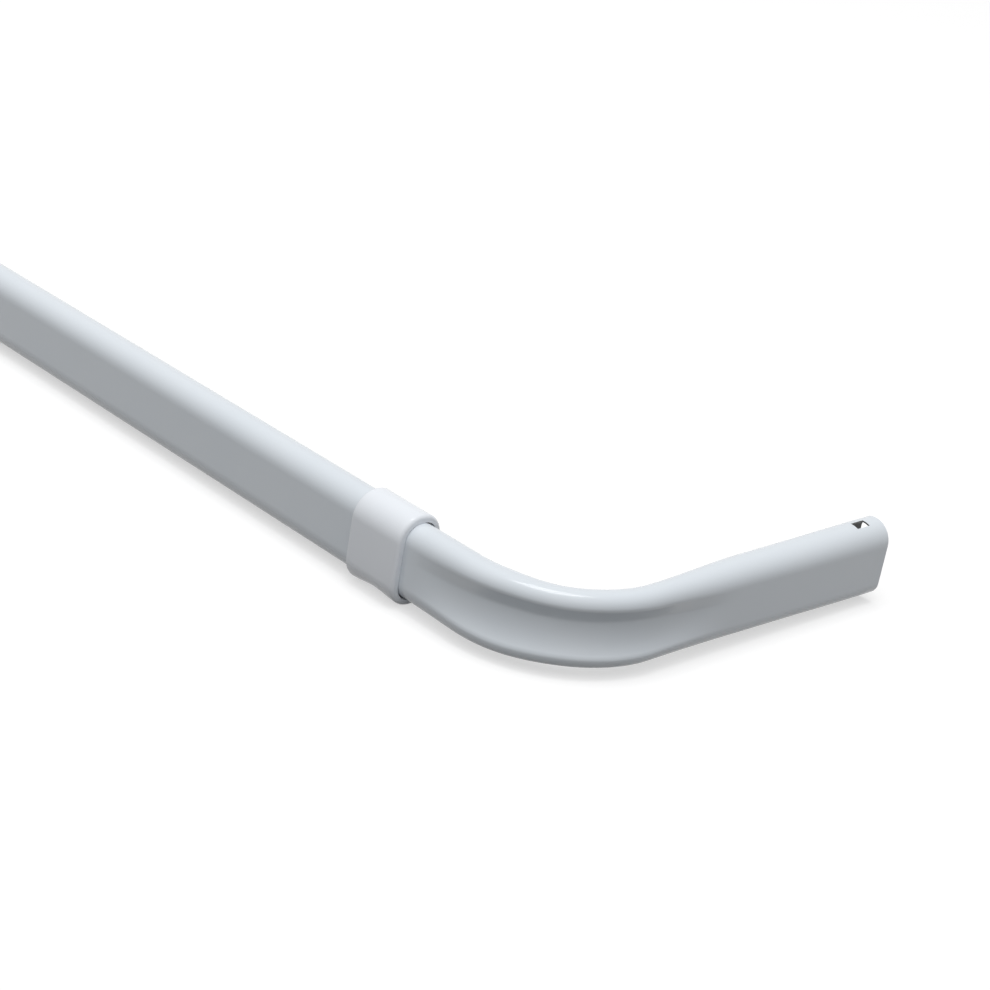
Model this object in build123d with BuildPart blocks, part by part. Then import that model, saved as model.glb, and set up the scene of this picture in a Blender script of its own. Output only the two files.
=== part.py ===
# Telescoping lock-seam curtain rod, pushed in: two flat-oval rods folded from steel strip, each with a return
# bent at its outer end, and a moulded collar over the mouth of the outer rod.
# Millimetres. +X runs along the rod to the inner rod's return, +Y to the wall, +Z up.
# The origin is at the middle of the footprint, on the surface that the rod lies on.
import os
from math import atan2, cos, degrees, pi, sin

from build123d import *

os.makedirs("parts", exist_ok=True)

# Overall sizes
closed_width = 711.2  # over both returns, with the rod pushed in
return_reach = 141.1  # from the rods' centre line to the open end of a return
bend_radius = 36.0  # at the centre line

# Section of the outer rod, and the strip that both rods are folded from
rod_height = 25.4
rod_depth = 13.2
sheet = 0.5
crown_flat = 0.4  # flat between the two rounds, along the top and the bottom
slide_clearance = 0.25  # between the two rods, on each side

# Lock seam along the back
seam_width = 5.0
seam_gap = 0.05  # between the hooked layers

# The bend is squeezed from the inside, and its front sinks in between two beads
squeeze = 2.2  # depth that the bend loses
shrink = 0.8  # height that the bend loses
dish = 2.0  # how far the front sinks
squeeze_onset = 24.0  # length from the start of the bend over which it comes on
squeeze_taper = 30.0  # length after the bend over which it goes
onset_sections = 5

# Slot in the top of each return, for the catch of a wall bracket
slot_length = 6.0
slot_width = 3.8
slot_setback = 6.0  # from the open end

# Telescoping: the inner rod's tail stops short of the outer rod's bend
tail_clearance = 2.0
showing = 21.8  # straight inner rod between the collar and the bend

# Collar
collar_length = 21.0
collar_wall = 1.6
collar_fit = 0.1  # around the outer rod
lip_thickness = 1.4
lip_clearance = 0.3  # around the inner rod
lip_corner = 4.5
mouth_chamfer = 0.8
rim_chamfer = 0.4
notch_clearance = 0.3  # on each side of the outer rod's seam

# Worked out from the sizes above
inner_height = rod_height - 2 * (sheet + slide_clearance)
inner_depth = rod_depth - 2 * (sheet + slide_clearance)
collar_stand = collar_fit + collar_wall
rod_z = rod_height / 2 + collar_stand
rod_y = (rod_depth / 2 + collar_stand - return_reach) / 2
bend_length = bend_radius * pi / 2
outer_bend_x = -(closed_width / 2 - rod_depth / 2 - bend_radius)
inner_bend_x = closed_width / 2 - inner_depth / 2 - bend_radius
mouth_x = inner_bend_x - showing
outer_end_x = mouth_x - lip_thickness
inner_tail_x = outer_bend_x + tail_clearance
seam_pitch = sheet + seam_gap
LEFT, RIGHT = -1, 1
OUTWARD, INWARD = -1, 1


def squeezed(along):
    """Share of the squeeze that a rod has, this far past the start of its bend."""
    onset = min(along / squeeze_onset, 1)
    return onset * onset * (3 - 2 * onset)


def across(side, bend_x, along):
    """Plane across a rod, this far past the start of its bend: x to the rod's front, y up."""
    turn = min(along / bend_radius, pi / 2)
    past = max(along - bend_length, 0)
    origin = (bend_x + side * bend_radius * sin(turn), rod_y + bend_radius * (1 - cos(turn)) + past, rod_z)
    front = Vector(side * sin(turn), -cos(turn), 0)
    return Plane(origin, x_dir=front, z_dir=front.cross(Vector(0, 0, 1)))


def strip_section(plane, height, full_depth, seam, share):
    """The folded strip in section, with its front to +x and its lock seam at the back."""
    depth = full_depth - share * squeeze
    sink = share * dish
    front = full_depth / 2
    corner = (depth - crown_flat) / 2
    rear_u = front - depth + corner
    front_u = front - corner
    rise = (height - share * shrink) / 2 - corner
    # The rounds lean in to meet a sunken front
    lean = atan2(rise, (rise * rise - sink * sink) / (2 * sink)) if sink > 0 else 0
    near_face = front - depth + (sheet if seam == OUTWARD else 0)
    upper = seam_width / 2
    lower = seam_pitch - upper

    def hook(steps):
        return [(near_face + seam * w, v) for w, v in steps]

    # The two edges of the strip hook into each other: (distance from the wall's near face, height)
    top_hook = [
        (0, rise),
        (0, lower),
        (2 * seam_pitch + sheet, lower),
        (2 * seam_pitch + sheet, upper - seam_pitch),
        (2 * seam_pitch, upper - seam_pitch),
        (2 * seam_pitch, lower + sheet),
        (sheet, lower + sheet),
        (sheet, rise),
    ]
    bottom_hook = [
        (0, -rise),
        (0, lower - seam_gap),
        (3 * seam_pitch, lower - seam_gap),
        (3 * seam_pitch, upper - sheet),
        (seam_pitch + sheet, upper - sheet),
        (seam_pitch + sheet, lower + seam_pitch),
        (seam_pitch, lower + seam_pitch),
        (seam_pitch, upper),
        (3 * seam_pitch + sheet, upper),
        (3 * seam_pitch + sheet, -upper),
        (sheet, -upper),
        (sheet, -rise),
    ]
    with BuildSketch(plane) as section:
        with BuildLine():
            Polyline(hook(top_hook))
            Polyline(hook(bottom_hook))
            for inset in (0, sheet):
                radius = corner - inset
                swing = 90 + degrees(lean)
                edge = Vector(front_u + radius * cos(lean), rise - radius * sin(lean))
                CenterArc((rear_u, rise), radius, 90, 90)
                Line((rear_u, rise + radius), (front_u, rise + radius))
                CenterArc((front_u, rise), radius, 90, -swing)
                if sink > 0:
                    ThreePointArc(edge, (front - sink - inset, 0), (edge.X, -edge.Y))
                else:
                    Line(edge, (edge.X, -edge.Y))
                CenterArc((front_u, -rise), radius, 270, swing)
                Line((front_u, -rise - radius), (rear_u, -rise - radius))
                CenterArc((rear_u, -rise), radius, 180, 90)
        make_face()
    return section.sketch


def fold_rod(side, bend_x, height, depth, seam, run_length):
    """Main run, bend, return and slot of a rod, in the part that is being built."""

    def strip(along, share):
        return strip_section(across(side, bend_x, along), height, depth, seam, share)

    bend_axis = Axis((bend_x, rod_y + bend_radius, rod_z), (0, 0, side))
    taper_end = bend_length + squeeze_taper
    stations = [squeeze_onset * i / (onset_sections - 1) for i in range(onset_sections)]
    extrude(strip(0, 0), amount=run_length, dir=(-side, 0, 0))
    loft([strip(along, squeezed(along)) for along in stations])
    revolve(strip(squeeze_onset, 1), bend_axis, revolution_arc=90 - degrees(squeeze_onset / bend_radius))
    loft([strip(bend_length, 1), strip(taper_end, 0)])
    extrude(strip(taper_end, 0), amount=return_reach - bend_radius - squeeze_taper, dir=(0, 1, 0))
    slot_y = rod_y + return_reach - slot_setback - slot_length / 2
    with BuildSketch(Plane((bend_x + side * bend_radius, slot_y, rod_z))) as slot:
        Rectangle(slot_width, slot_length)
    extrude(slot.sketch, amount=height, mode=Mode.SUBTRACT)


# Outer rod, with its return at the left and its seam folded to the outside
with BuildPart() as outer_rod:
    fold_rod(LEFT, outer_bend_x, rod_height, rod_depth, OUTWARD, outer_end_x - outer_bend_x)
outer_rod.part.label = "outer_rod"

# Inner rod, with its return at the right and its seam folded to the inside
with BuildPart() as inner_rod:
    fold_rod(RIGHT, inner_bend_x, inner_height, inner_depth, INWARD, inner_bend_x - inner_tail_x)
inner_rod.part.label = "inner_rod"

# Collar: a sleeve over the end of the outer rod, with a lip that closes in on the inner rod
rod_corner = (rod_depth - crown_flat) / 2
mouth = Plane((mouth_x, rod_y, rod_z), x_dir=(0, 1, 0), z_dir=(-1, 0, 0))
with BuildPart() as collar:
    with BuildSketch(mouth):
        outside = (rod_depth + 2 * collar_stand, rod_height + 2 * collar_stand)
        RectangleRounded(*outside, rod_corner + collar_stand)
    extrude(amount=collar_length)
    chamfer(collar.faces().sort_by(Axis.X)[-1].edges(), mouth_chamfer)
    chamfer(collar.faces().sort_by(Axis.X)[0].edges(), rim_chamfer)
    with BuildSketch(mouth.offset(lip_thickness)):
        RectangleRounded(rod_depth + 2 * collar_fit, rod_height + 2 * collar_fit, rod_corner + collar_fit)
    extrude(amount=collar_length - lip_thickness, mode=Mode.SUBTRACT)
    with BuildSketch(mouth):
        RectangleRounded(inner_depth + 2 * lip_clearance, inner_height + 2 * lip_clearance, lip_corner)
    extrude(amount=lip_thickness, mode=Mode.SUBTRACT)
    # Notch in the back that the outer rod's seam lies in
    with BuildSketch(mouth.offset(lip_thickness)):
        with Locations((rod_depth / 2 + collar_stand / 2, 0)):
            Rectangle(2 * collar_stand, seam_width + 2 * notch_clearance)
    extrude(amount=collar_length - lip_thickness, mode=Mode.SUBTRACT)
collar.part.label = "collar"

for piece in (outer_rod, inner_rod, collar):
    export_step(piece.part, f"parts/{piece.part.label}.step")
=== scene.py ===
from math import cos, pi, radians, sin

import bmesh
import bpy
from mathutils import Matrix, Vector


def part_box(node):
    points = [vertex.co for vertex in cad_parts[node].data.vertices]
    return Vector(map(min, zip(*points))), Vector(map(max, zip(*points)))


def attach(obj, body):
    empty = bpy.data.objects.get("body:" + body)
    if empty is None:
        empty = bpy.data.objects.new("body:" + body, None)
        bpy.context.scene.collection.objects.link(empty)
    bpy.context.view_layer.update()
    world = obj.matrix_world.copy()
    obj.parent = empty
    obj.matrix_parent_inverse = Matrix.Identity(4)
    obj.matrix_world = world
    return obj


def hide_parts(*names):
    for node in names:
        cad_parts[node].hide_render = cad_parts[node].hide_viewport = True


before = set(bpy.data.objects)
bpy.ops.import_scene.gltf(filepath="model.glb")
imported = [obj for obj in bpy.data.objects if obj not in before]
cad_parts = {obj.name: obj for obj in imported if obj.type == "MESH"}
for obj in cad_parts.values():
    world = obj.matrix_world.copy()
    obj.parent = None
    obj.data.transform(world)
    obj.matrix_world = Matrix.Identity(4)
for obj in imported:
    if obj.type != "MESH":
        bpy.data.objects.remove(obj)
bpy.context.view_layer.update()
scene = bpy.context.scene
scene.view_settings.view_transform = "Standard"

# Sizes in metres
MM = 0.001
SHEET = 0.5 * MM
CROWN_FLAT = 0.4 * MM  # between the two rounds, along the top and the bottom
BEND_RADIUS = 36 * MM
BEND_LENGTH = BEND_RADIUS * pi / 2
OUTER_DEPTH = 13.2 * MM
INNER_DEPTH = 11.7 * MM
ROUND_STEPS = 10
FRONT_STEPS = 24
SHARP_ANGLE = radians(42)
LEFT, RIGHT = -1, 1

# Lock seam along the back of each rod
SEAM_WIDTH = 5 * MM
SEAM_PITCH = 0.55 * MM
FOLD_ROUND = 0.22 * MM
FOLD_STEPS = 2
OUTWARD, INWARD = -1, 1

# The bend loses depth and height, and its front sinks in between two beads
SQUEEZE = 2.2 * MM
SHRINK = 0.8 * MM
DISH = 3.8 * MM  # behind the lower bead
BEAD_SETBACK = 0.4 * MM  # of the upper bead behind the lower one
BEAD_TIGHTENING = 1.6 * MM  # that the front rounds lose in radius
DISH_LIFT = 0.33  # of the deepest line above the middle, as a share of the half height
# Walls of the dish above and below that line, where 1 is straight and 2 a parabola
UPPER_STEEPNESS = 1.05
LOWER_STEEPNESS = 2

# A return's top front and bottom rear rounds gain in radius to its open end, and the others lose
CROWN_LEAN = 1.2 * MM
SPREAD = 0.033  # that a return's height gains at its open end, as a share

# Where each comes on and goes, from the start of the bend
SQUEEZE_SPAN = (10 * MM, 31 * MM, BEND_LENGTH, BEND_LENGTH + 41 * MM)
INNER_DISH_SPAN = (-22 * MM, 18 * MM, 42 * MM, 92 * MM)
OUTER_DISH_SPAN = (0 * MM, 30 * MM, 42 * MM, 92 * MM)  # clear of the inner rod's tail
LEAN_SPAN = (50 * MM, 150 * MM)
SPREAD_SPAN = (BEND_LENGTH + 55 * MM, BEND_LENGTH + 105 * MM)
BEND_STATION = 1 * MM
RETURN_STATION = 5 * MM

# Slot in the top of each return, as it is cut in the straight strip
SLOT_LENGTH = 6 * MM
SLOT_WIDTH = 2.4 * MM
SLOT_ADVANCE = 1 * MM  # in front of the middle of the crown
SLOT_SETBACK = 6.3 * MM  # from the open end

# Collar
LIP_THICKNESS = 1.4 * MM
LIP_CLEARANCE = 0.3 * MM
LIP_OFFSET = (0.25 * MM, -0.2 * MM)  # to the back, and down
LIP_CORNER = 5.5 * MM
BORE_CLEARANCE = 0.1 * MM
NOTCH_CLEARANCE = 0.3 * MM
MOUTH_ROUND = 1.3 * MM
MOUTH_STEPS = 6
RIM_ROUND = 0.5 * MM
RIM_STEPS = 3
WAIST = 0.9 * MM
WAIST_STEPS = 16
CORNER_STEPS = 16
OVERCUT = 0.5 * MM  # of each cutter past the face that it comes through
NOTCH_CORNER = 0.5 * MM
TOUCHING = 0.01 * MM

# Detail of the noise in the finishes
DRIFT_DETAIL = 2
SKIN_DETAIL = 3

# Floor and studio
WHITE = (1, 1, 1, 1)
FLOOR_HALF_WIDTH = 8
FLOOR_UNSEEN = (0.16, 0.16, 0.16)
FLOOR_SEEN = (0.5, 0.5, 0.5)
FLOOR_GLOW = 0.56
SKY_AXIS = (0.165, -0.286, 0.944)
SKY_FOCUS = 2.35
SKY_LEVEL = 1.62
SOFTBOX_WIDTH = 1.1
SOFTBOX_WATTS = 16.7
SOFTBOX_PLACE = (0.3, -0.05, 2.4)

# Camera at the photograph's angle
CAMERA_RIGHT = Vector((0.6769022, 0.7182340, 0.1610694))
CAMERA_UP = Vector((-0.3875733, 0.1617477, 0.9075376))
CAMERA_PLACE = Vector((0.695938, -0.475512, 0.280792))
SENSOR_WIDTH = 36
PICTURE_PIXELS = 990
FOCAL_PIXELS = 2197.265


def node(tree, kind, **settings):
    """A shader node with its own settings and its inputs, linked or set."""
    made = tree.nodes.new(kind)
    inputs = settings.pop("inputs", {})
    for name, value in settings.items():
        setattr(made, name, value)
    for name, value in inputs.items():
        if hasattr(value, "is_output"):
            tree.links.new(value, made.inputs[name])
        else:
            made.inputs[name].default_value = value
    return made


def calculated(tree, operation, first, second):
    """The result of an operation on two values, each linked or set."""
    made = node(tree, "ShaderNodeMath", operation=operation, inputs={0: first, 1: second})
    return made.outputs[0]


def fresh_material(name):
    """A material with its node tree and its shader."""
    made = bpy.data.materials.new(name)
    made.use_nodes = True
    return made, made.node_tree, made.node_tree.nodes["Principled BSDF"]


def show_background(tree):
    """1 for camera, glossy and transmission rays, 0 for the rays that light the object."""
    path = node(tree, "ShaderNodeLightPath").outputs
    seen = calculated(tree, "MAXIMUM", path["Is Camera Ray"], path["Is Glossy Ray"])
    return calculated(tree, "MAXIMUM", seen, path["Is Transmission Ray"])


def grain(tree, grains, detail):
    """Noise on the piece's own coordinates, with so many grains to the metre."""
    where = node(tree, "ShaderNodeTexCoord").outputs["Object"]
    noise = node(tree, "ShaderNodeTexNoise", inputs={"Vector": where, "Scale": grains, "Detail": detail})
    return noise.outputs["Fac"]


def between(tree, factor, low, high):
    """A value that goes from low to high with a factor from 0 to 1."""
    ramp = node(tree, "ShaderNodeMapRange", inputs={"Value": factor, "To Min": low, "To Max": high})
    return ramp.outputs["Result"]


def tint(tree, factor, first, second):
    """A colour that goes from the first to the second with a factor from 0 to 1."""
    mixed = node(tree, "ShaderNodeMix", data_type="RGBA")
    mixed.inputs["A"].default_value = (*first, 1)
    mixed.inputs["B"].default_value = (*second, 1)
    tree.links.new(factor, mixed.inputs["Factor"])
    return mixed.outputs["Result"]


def surface(name, first, second, patches, roughness, grains, depth, metallic=0):
    """A finish whose colour drifts between two tints, with an uneven gloss and a fine skin."""
    made, tree, shader = fresh_material(name)
    drift = grain(tree, patches, DRIFT_DETAIL)
    skin = grain(tree, grains, SKIN_DETAIL)
    bump = node(tree, "ShaderNodeBump", inputs={"Strength": 1, "Distance": depth, "Height": skin})
    tree.links.new(tint(tree, drift, first, second), shader.inputs["Base Color"])
    tree.links.new(between(tree, skin, *roughness), shader.inputs["Roughness"])
    tree.links.new(bump.outputs["Normal"], shader.inputs["Normal"])
    shader.inputs["Metallic"].default_value = metallic
    return made


# Finishes, with patches of tint and grains of the skin to the metre
enamel = surface("white_enamel", first=(0.72, 0.775, 0.83), second=(0.76, 0.805, 0.85), patches=40,
                 roughness=(0.1, 0.17), grains=900, depth=0.003 * MM)
plastic = surface("collar_plastic", first=(0.84, 0.88, 0.93), second=(0.87, 0.9, 0.95), patches=60,
                  roughness=(0.12, 0.2), grains=1500, depth=0.004 * MM)
# Inside of the tube: bare steel, painted near black as the shade inside the closed tube
inside_painted_shade = surface("inside_painted_shade", first=(0.06, 0.06, 0.062), second=(0.13, 0.13, 0.13), patches=90,
                      roughness=(0.45, 0.65), grains=1200, depth=0.006 * MM)
cut_edge = surface("cut_steel_edge", first=(0.16, 0.16, 0.16), second=(0.3, 0.3, 0.29), patches=700,
                   roughness=(0.3, 0.5), grains=2500, depth=0.01 * MM, metallic=0.7)


def smooth_step(value, low, high):
    """Goes from 0 to 1 between low and high, level at both."""
    share = min(max((value - low) / (high - low), 0), 1)
    return share * share * (3 - 2 * share)


def pressed(along, span):
    """Share of a change of form that comes on and goes over this span, this far along the rod."""
    return smooth_step(along, span[0], span[1]) * (1 - smooth_step(along, span[2], span[3]))


def round_off(bm, geom, radius, steps, affect="EDGES"):
    """Rounds edges, or the corners of a wire."""
    bmesh.ops.bevel(bm, geom=geom, offset=radius, offset_type="OFFSET", segments=steps, profile=0.5,
                    affect=affect, material=-1)


def finish_mesh(name, bm, materials):
    """The object of a finished bmesh, smooth and with its materials."""
    mesh = bpy.data.meshes.new(name)
    for face in bm.faces:
        face.smooth = True
    bm.to_mesh(mesh)
    bm.free()
    for material in materials:
        mesh.materials.append(material)
    made = bpy.data.objects.new(name, mesh)
    scene.collection.objects.link(made)
    return made


def apply_modifiers(piece):
    """Gives a piece the mesh that its modifiers make, with its sharp edges marked."""
    evaluated = piece.evaluated_get(bpy.context.evaluated_depsgraph_get())
    mesh = bpy.data.meshes.new_from_object(evaluated)
    piece.modifiers.clear()
    piece.data = mesh
    mesh.set_sharp_from_angle(angle=SHARP_ANGLE)


def strip_section(bm, along, height, depth, seam):
    """Wire along the middle of the folded strip, across the rod: -y to the front, z up."""
    corner = (depth - CROWN_FLAT) / 2
    rise = height / 2 - corner
    near_face = -depth / 2 + (SHEET if seam == OUTWARD else 0)
    upper = (SEAM_WIDTH - SHEET) / 2
    lower = SEAM_PITCH - upper

    def layer(count):
        return near_face + seam * (count * SEAM_PITCH + SHEET / 2)

    def line_to(vert, u, v):
        moved = bmesh.ops.extrude_vert_indiv(bm, verts=[vert])["verts"][0]
        moved.co = (along, -u, v)
        return moved

    def round_about(vert, u, v):
        turned = bmesh.ops.spin(bm, geom=[vert], cent=(along, -u, v), axis=(-1, 0, 0), angle=-pi / 2,
                                steps=ROUND_STEPS)
        return turned["geom_last"][0]

    # From the top hook over the crown, down the front and up the back to the bottom hook
    folds = []
    hook_end = (along, -layer(2), upper - SEAM_PITCH + SHEET / 2)
    vert = bmesh.ops.create_vert(bm, co=hook_end)["vert"][0]
    for count in (2, 0):
        vert = line_to(vert, layer(count), lower)
        folds.append(vert)
    vert = round_about(line_to(vert, layer(0), rise), -CROWN_FLAT / 2, rise)
    vert = round_about(line_to(vert, CROWN_FLAT / 2, vert.co.z), CROWN_FLAT / 2, rise)
    for step in range(FRONT_STEPS):
        vert = line_to(vert, -vert.co.y, rise - 2 * rise * (step + 1) / FRONT_STEPS)
    vert = round_about(vert, CROWN_FLAT / 2, -rise)
    vert = round_about(line_to(vert, -CROWN_FLAT / 2, vert.co.z), -CROWN_FLAT / 2, -rise)
    for count, v in ((0, -upper), (3, -upper), (3, upper), (1, upper)):
        vert = line_to(vert, layer(count), v)
        folds.append(vert)
    line_to(vert, layer(1), lower + SEAM_PITCH - SHEET / 2)
    round_off(bm, folds, FOLD_ROUND, FOLD_STEPS, affect="VERTICES")


def draw_out(bm, stations):
    """Draws the section's wire out into a strip, with an edge across it at each station."""
    edges = bm.edges[:]
    for along in stations:
        made = bmesh.ops.extrude_edge_only(bm, edges=edges)["geom"]
        edges = [g for g in made if isinstance(g, bmesh.types.BMEdge)]
        for g in made:
            if isinstance(g, bmesh.types.BMVert):
                g.co.x = along


def cut_slot(bm, start, stop, height):
    """Opens the slot in the crown, between the two stations that it starts and ends at."""
    middle = -SLOT_ADVANCE
    crown_low = height / 4
    crown = []
    for face in bm.faces:
        center = face.calc_center_median()
        if start < center.x < stop and center.z > crown_low:
            crown.append(face)
    for side in (-1, 1):
        verts = dict.fromkeys(v for f in crown for v in f.verts)
        edges = dict.fromkeys(e for f in crown for e in f.edges)
        cut = bmesh.ops.bisect_plane(bm, geom=[*verts, *edges, *crown], plane_no=(0, side, 0),
                                     plane_co=(0, middle + side * SLOT_WIDTH / 2, 0))
        crown = [g for g in cut["geom"] if isinstance(g, bmesh.types.BMFace)]
    inside = [f for f in crown if abs(f.calc_center_median().y - middle) < SLOT_WIDTH / 2]
    bmesh.ops.delete(bm, geom=inside, context="FACES")


def dish_depth(level):
    """How far the front sinks at a level from -1 at the lower bead to 1 at the upper one."""
    offset = level - DISH_LIFT
    if offset > 0:
        return DISH - (DISH - BEAD_SETBACK) * (offset / (1 - DISH_LIFT)) ** UPPER_STEEPNESS
    return DISH - DISH * (-offset / (1 + DISH_LIFT)) ** LOWER_STEEPNESS


def squeeze(co, height, depth, dish_span):
    """Squeezes a straight strip's point at the bend, sinks its front, and leans and spreads its return."""
    rear_share, front_share = pressed(co.x, SQUEEZE_SPAN), pressed(co.x, dish_span)
    u, v = -co.y, abs(co.z)
    up = 1 if co.z > 0 else -1
    corner = (depth - CROWN_FLAT) / 2
    rise = height / 2 - corner
    loss = rear_share * SQUEEZE
    lean = up * CROWN_LEAN * smooth_step(co.x, *LEAN_SPAN)
    tightening = front_share * BEAD_TIGHTENING - lean if u > 0 else loss / 2 + lean
    tight_corner = corner - tightening
    tight_rise = (height - rear_share * SHRINK) / 2 - tight_corner
    scale = (tight_corner - SHEET / 2) / (corner - SHEET / 2)
    seam_half = SEAM_WIDTH / 2
    in_round = v > rise
    if in_round:
        v = tight_rise + (v - rise) * scale
    elif v > seam_half:
        v = seam_half + (v - seam_half) * (tight_rise - seam_half) / (rise - seam_half)
    if u > 0:
        u = depth / 2 - tight_corner + (u - CROWN_FLAT / 2) * scale
        if not in_round:
            u -= dish_depth(up * v / tight_rise) * front_share
        elif up > 0:
            u -= BEAD_SETBACK * front_share
    elif in_round:
        u = loss - depth / 2 + tight_corner + (u + CROWN_FLAT / 2) * scale
    else:
        u += loss
    co.y, co.z = -u, up * v * (1 + SPREAD * smooth_step(co.x, *SPREAD_SPAN))


def bend(co, bend_x, line_y, mid_z):
    """Carries a straight strip's point round the bend to its place in a right-hand rod."""
    turn = min(max(co.x / BEND_RADIUS, 0), pi / 2)
    before = min(co.x, 0)
    past = max(co.x - BEND_LENGTH, 0)
    reach = BEND_RADIUS - co.y
    co.x = bend_x + before + reach * sin(turn)
    co.y = line_y + BEND_RADIUS + past - reach * cos(turn)
    co.z += mid_z


def fold_rod(name, side, depth, seam, dish_span):
    """A rod as it is made: the strip folded and seamed, the slot cut, the end squeezed and bent."""
    low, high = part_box(name)
    height = high.z - low.z
    line_y = low.y + depth / 2
    outside, tail = (high.x, low.x) if side == RIGHT else (-low.x, -high.x)
    bend_x = outside - depth / 2 - BEND_RADIUS
    end = BEND_LENGTH + high.y - line_y - BEND_RADIUS
    slot_start, slot_stop = end - SLOT_SETBACK - SLOT_LENGTH, end - SLOT_SETBACK
    stations = []
    along = dish_span[0]
    while along < slot_start:
        stations.append(along)
        along += BEND_STATION if along < SQUEEZE_SPAN[3] else RETURN_STATION
    bm = bmesh.new()
    strip_section(bm, tail - bend_x, height, depth, seam)
    draw_out(bm, stations + [slot_start, slot_stop, end])
    cut_slot(bm, slot_start, slot_stop, height)
    for vert in bm.verts:
        squeeze(vert.co, height, depth, dish_span)
        bend(vert.co, bend_x, line_y, (low.z + high.z) / 2)
        vert.co.x *= side
    bmesh.ops.recalc_face_normals(bm, faces=bm.faces[:])
    front = min(bm.faces, key=lambda face: face.calc_center_median().y)
    if front.normal.y > 0:
        bmesh.ops.reverse_faces(bm, faces=bm.faces[:])
    rod = finish_mesh(name + "_sheet", bm, (enamel, inside_painted_shade, cut_edge))
    wall = rod.modifiers.new("sheet", "SOLIDIFY")
    wall.thickness = SHEET
    wall.offset = 0
    wall.use_even_offset = True
    wall.material_offset = 1
    wall.material_offset_rim = 2
    apply_modifiers(rod)
    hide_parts(name)
    return rod


def rounded_block(start, end, middle, depth, height, corner):
    """A bar along X, with its four long edges rounded."""
    bm = bmesh.new()
    place = Matrix.Translation(((start + end) / 2, middle[0], middle[1]))
    size = Matrix.Diagonal((end - start, depth, height, 1))
    bmesh.ops.create_cube(bm, size=1, matrix=place @ size)
    half = (end - start) / 2
    long_edges = [e for e in bm.edges if abs(e.verts[0].co.x - e.verts[1].co.x) > half]
    round_off(bm, long_edges, corner, CORNER_STEPS)
    return bm


def end_edges(bm, x):
    """The edges round one end of a bar."""
    return [e for e in bm.edges if all(abs(v.co.x - x) < TOUCHING for v in e.verts)]


def draw_in_waist(bm, low, high):
    """Raises the underside of the collar between its rim and its mouth."""
    length, height = high.x - low.x, high.z - low.z
    rim_end = low.x + RIM_ROUND
    straight = high.x - MOUTH_ROUND - low.x - RIM_ROUND
    for step in range(1, WAIST_STEPS):
        x = rim_end + straight * step / WAIST_STEPS
        bmesh.ops.bisect_plane(bm, geom=bm.verts[:] + bm.edges[:] + bm.faces[:],
                               plane_co=(x, 0, 0), plane_no=(1, 0, 0))
    for vert in bm.verts:
        share = (vert.co.x - low.x) / length
        lowness = smooth_step((low.z + high.z) / 2 - vert.co.z, height / 4, height / 2)
        vert.co.z += WAIST * lowness * sin(pi * share) ** 2


def mould_collar():
    """The sleeve over the outer rod's end: a rounded mouth, a waist underneath, a lip round the inner rod."""
    low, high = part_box("collar")
    inner_low, inner_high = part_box("inner_rod")
    middle = ((low.y + high.y) / 2, (low.z + high.z) / 2)
    depth, height = high.y - low.y, high.z - low.z
    stand = (depth - OUTER_DEPTH) / 2
    rod_corner = (OUTER_DEPTH - CROWN_FLAT) / 2
    lip_x = high.x - LIP_THICKNESS
    bm = rounded_block(low.x, high.x, middle, depth, height, rod_corner + stand)
    round_off(bm, end_edges(bm, high.x), MOUTH_ROUND, MOUTH_STEPS)
    round_off(bm, end_edges(bm, low.x), RIM_ROUND, RIM_STEPS)
    draw_in_waist(bm, low, high)
    collar = finish_mesh("collar_sleeve", bm, (plastic,))

    bore = rounded_block(low.x - OVERCUT, lip_x, middle, OUTER_DEPTH + 2 * BORE_CLEARANCE,
                         height - 2 * (stand - BORE_CLEARANCE), rod_corner + BORE_CLEARANCE)
    lip_middle = (middle[0] + LIP_OFFSET[0], middle[1] + LIP_OFFSET[1])
    lip = rounded_block(lip_x - OVERCUT, high.x + OVERCUT, lip_middle, INNER_DEPTH + 2 * LIP_CLEARANCE,
                        inner_high.z - inner_low.z + 2 * LIP_CLEARANCE, LIP_CORNER)
    # The notch goes through the back wall, with room to spare
    notch_depth = 3 * stand
    notch = rounded_block(low.x - OVERCUT, lip_x, (high.y, middle[1]), notch_depth,
                          SEAM_WIDTH + 2 * NOTCH_CLEARANCE, NOTCH_CORNER)
    cutters = [finish_mesh("cutter", cutter, ()) for cutter in (bore, lip, notch)]
    for cutter in cutters:
        cut = collar.modifiers.new("cut", "BOOLEAN")
        cut.operation = "DIFFERENCE"
        cut.solver = "EXACT"
        cut.object = cutter
    apply_modifiers(collar)
    for cutter in cutters:
        bpy.data.objects.remove(cutter)
    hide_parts("collar")
    return collar


collar = mould_collar()
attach(collar, "outer_half")
outer = fold_rod("outer_rod", LEFT, OUTER_DEPTH, OUTWARD, OUTER_DISH_SPAN)
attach(outer, "outer_half")
inner = fold_rod("inner_rod", RIGHT, INNER_DEPTH, INWARD, INNER_DISH_SPAN)
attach(inner, "inner_half")

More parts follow.
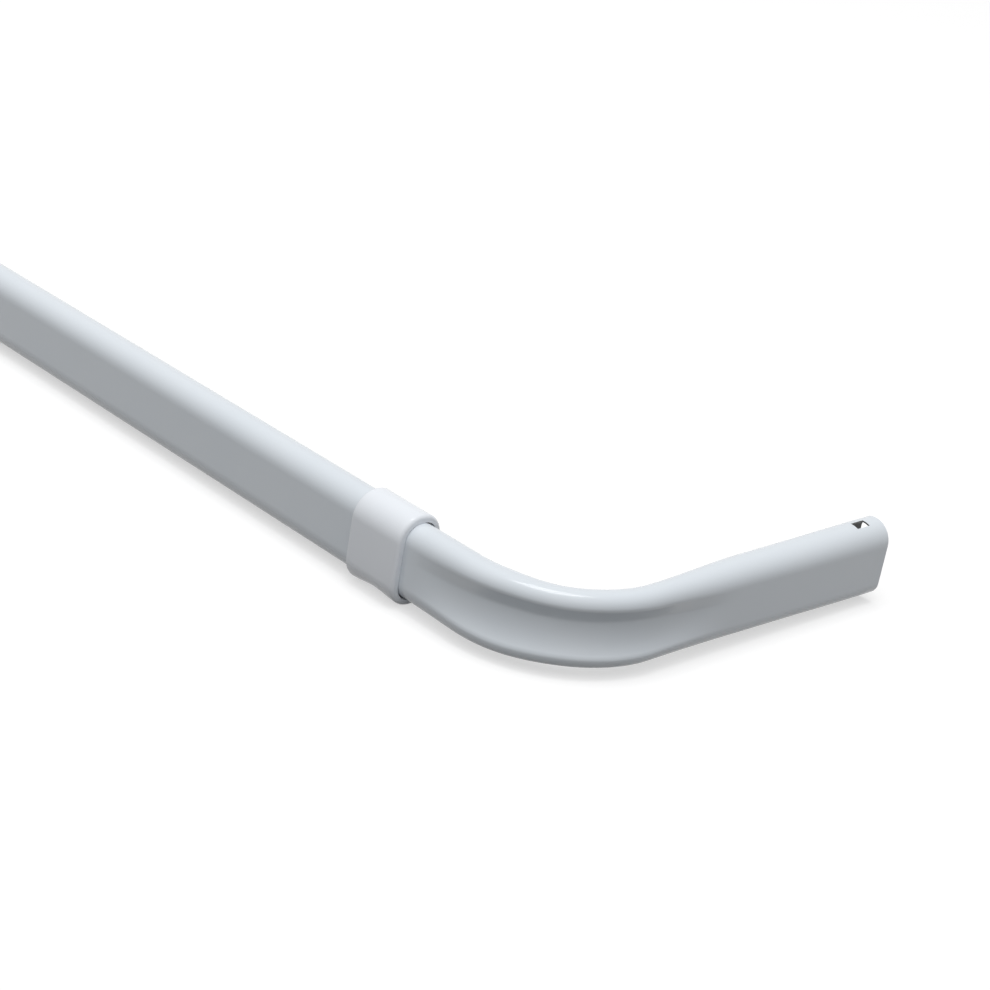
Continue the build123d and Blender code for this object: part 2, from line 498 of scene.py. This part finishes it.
# Floor: white to the camera with a light shadow, and a dark grey to the light that it throws back
floor_paint, tree, shader = fresh_material("pale_floor")
seen = show_background(tree)
tree.links.new(tint(tree, seen, FLOOR_UNSEEN, FLOOR_SEEN), shader.inputs["Base Color"])
tree.links.new(between(tree, seen, 0, FLOOR_GLOW), shader.inputs["Emission Strength"])
shader.inputs["Emission Color"].default_value = WHITE
shader.inputs["Roughness"].default_value = 1
shader.inputs["Specular IOR Level"].default_value = 0
bm = bmesh.new()
bmesh.ops.create_grid(bm, x_segments=1, y_segments=1, size=FLOOR_HALF_WIDTH)
floor = finish_mesh("floor", bm, (floor_paint,))

# Studio: a sky that is brightest overhead and to the front, and white where the camera sees it
world = bpy.data.worlds.new("studio")
scene.world = world
world.use_nodes = True
tree = world.node_tree
sky = tree.nodes["Background"]
where = node(tree, "ShaderNodeTexCoord")
facing = node(tree, "ShaderNodeVectorMath", operation="DOT_PRODUCT",
              inputs={0: where.outputs["Generated"], 1: SKY_AXIS})
above = calculated(tree, "MAXIMUM", facing.outputs["Value"], 0)
glow = calculated(tree, "POWER", above, SKY_FOCUS)
tree.links.new(calculated(tree, "MULTIPLY", glow, SKY_LEVEL), sky.inputs["Strength"])
sky.inputs["Color"].default_value = WHITE
backdrop = node(tree, "ShaderNodeBackground", inputs={"Color": WHITE, "Strength": 1})
mix = node(tree, "ShaderNodeMixShader",
           inputs={0: show_background(tree), 1: sky.outputs[0], 2: backdrop.outputs[0]})
tree.links.new(mix.outputs[0], tree.nodes["World Output"].inputs["Surface"])

# Overhead softbox
softbox = bpy.data.lights.new("softbox", "AREA")
softbox.shape = "SQUARE"
softbox.size = SOFTBOX_WIDTH
softbox.energy = SOFTBOX_WATTS
lamp = bpy.data.objects.new("softbox", softbox)
lamp.location = SOFTBOX_PLACE
scene.collection.objects.link(lamp)

# Camera
lens = bpy.data.cameras.new("photo_view")
lens.sensor_width = SENSOR_WIDTH
lens.lens = FOCAL_PIXELS / PICTURE_PIXELS * SENSOR_WIDTH
camera = bpy.data.objects.new("photo_view", lens)
scene.collection.objects.link(camera)
turn = Matrix((CAMERA_RIGHT, CAMERA_UP, CAMERA_RIGHT.cross(CAMERA_UP))).transposed().to_4x4()
turn.translation = CAMERA_PLACE
camera.matrix_world = turn
scene.camera = camera
